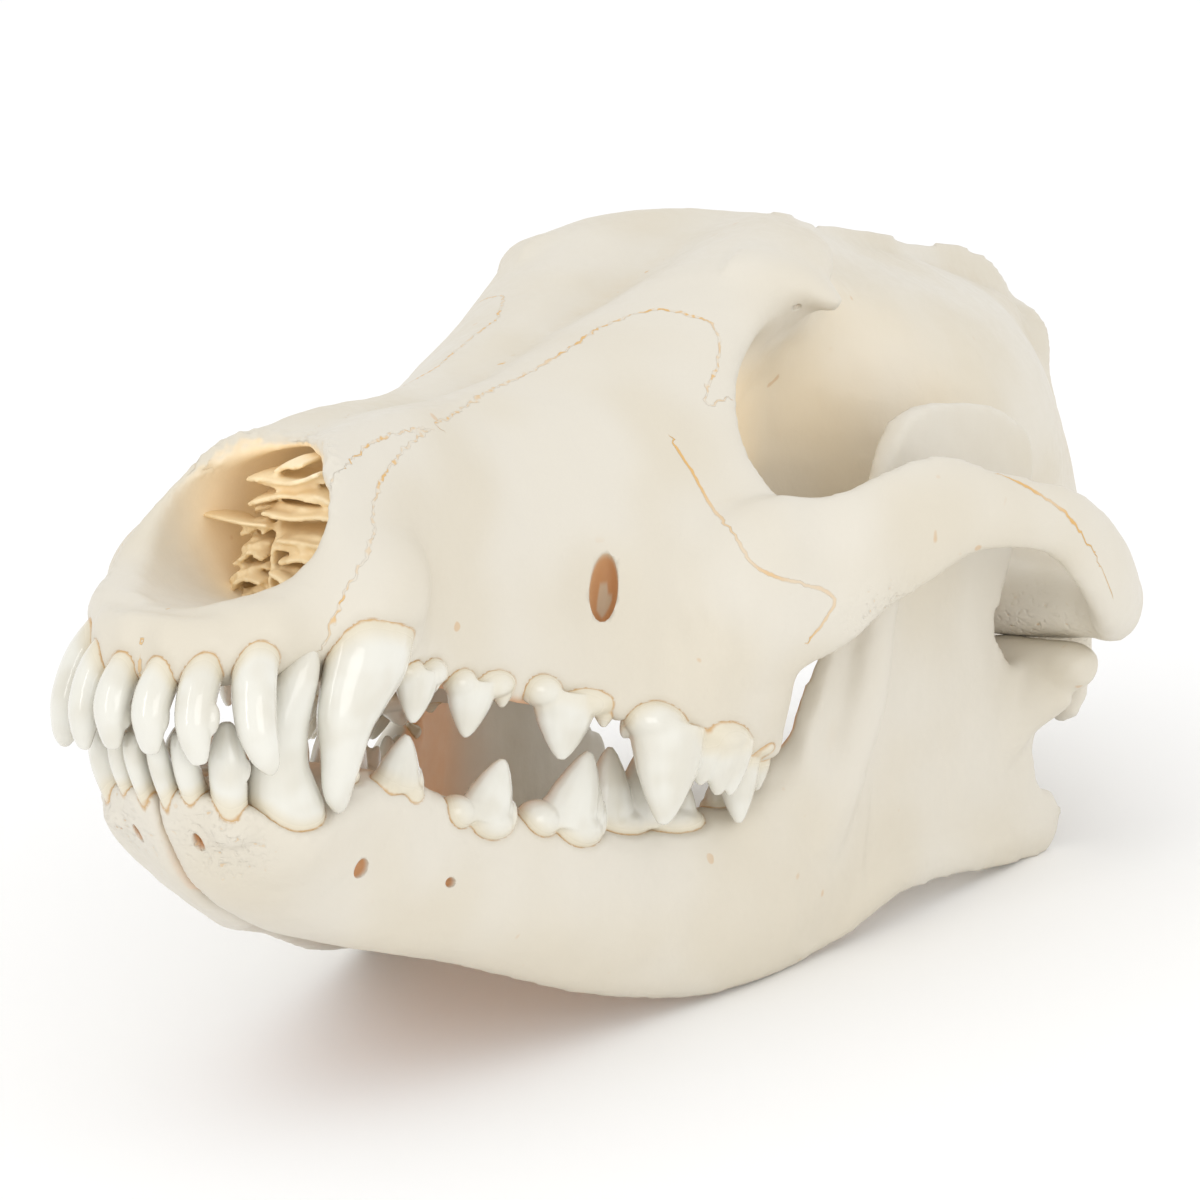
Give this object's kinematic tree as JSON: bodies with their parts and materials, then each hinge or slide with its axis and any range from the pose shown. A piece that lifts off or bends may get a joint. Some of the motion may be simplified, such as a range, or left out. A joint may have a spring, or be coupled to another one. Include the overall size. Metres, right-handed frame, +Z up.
{
  "type": "wolf skull",
  "caption": "Gray wolf skull resting on its own lower jaw: long snout, open nose with thin bony scrolls inside, wide cheek arches, a ridge along the crown and a full set of teeth.",
  "frame": {"origin": "middle of the bounding box in X and Y, on the surface the skull rests on", "axes": "+X to the animal's left, +Y from the nose to the back of the head, +Z up"},
  "size_m": [0.1402, 0.281, 0.1151],
  "materials": {
    "bone": "satin ivory bone, dry and clean",
    "enamel": "glossy near-white tooth enamel"
  },
  "bodies": {
    "root": {"cranium": "bone", "left_dentary": "bone", "right_dentary": "bone", "left_upper_incisor_1": "enamel", "left_upper_incisor_2": "enamel", "left_upper_incisor_3": "enamel", "left_upper_canine": "enamel", "left_upper_premolar_1": "enamel", "left_upper_premolar_2": "enamel", "left_upper_premolar_3": "enamel", "left_upper_premolar_4": "enamel", "left_upper_molar_1": "enamel", "left_upper_molar_2": "enamel", "left_lower_incisor_1": "enamel", "left_lower_incisor_2": "enamel", "left_lower_incisor_3": "enamel", "left_lower_canine": "enamel", "left_lower_premolar_1": "enamel", "left_lower_premolar_2": "enamel", "left_lower_premolar_3": "enamel", "left_lower_premolar_4": "enamel", "left_lower_molar_1": "enamel", "left_lower_molar_2": "enamel", "left_lower_molar_3": "enamel", "right_upper_incisor_1": "enamel", "right_upper_incisor_2": "enamel", "right_upper_incisor_3": "enamel", "right_upper_canine": "enamel", "right_upper_premolar_1": "enamel", "right_upper_premolar_2": "enamel", "right_upper_premolar_3": "enamel", "right_upper_premolar_4": "enamel", "right_upper_molar_1": "enamel", "right_upper_molar_2": "enamel", "right_lower_incisor_1": "enamel", "right_lower_incisor_2": "enamel", "right_lower_incisor_3": "enamel", "right_lower_canine": "enamel", "right_lower_premolar_1": "enamel", "right_lower_premolar_2": "enamel", "right_lower_premolar_3": "enamel", "right_lower_premolar_4": "enamel", "right_lower_molar_1": "enamel", "right_lower_molar_2": "enamel", "right_lower_molar_3": "enamel"}
  },
  "joints": []
}
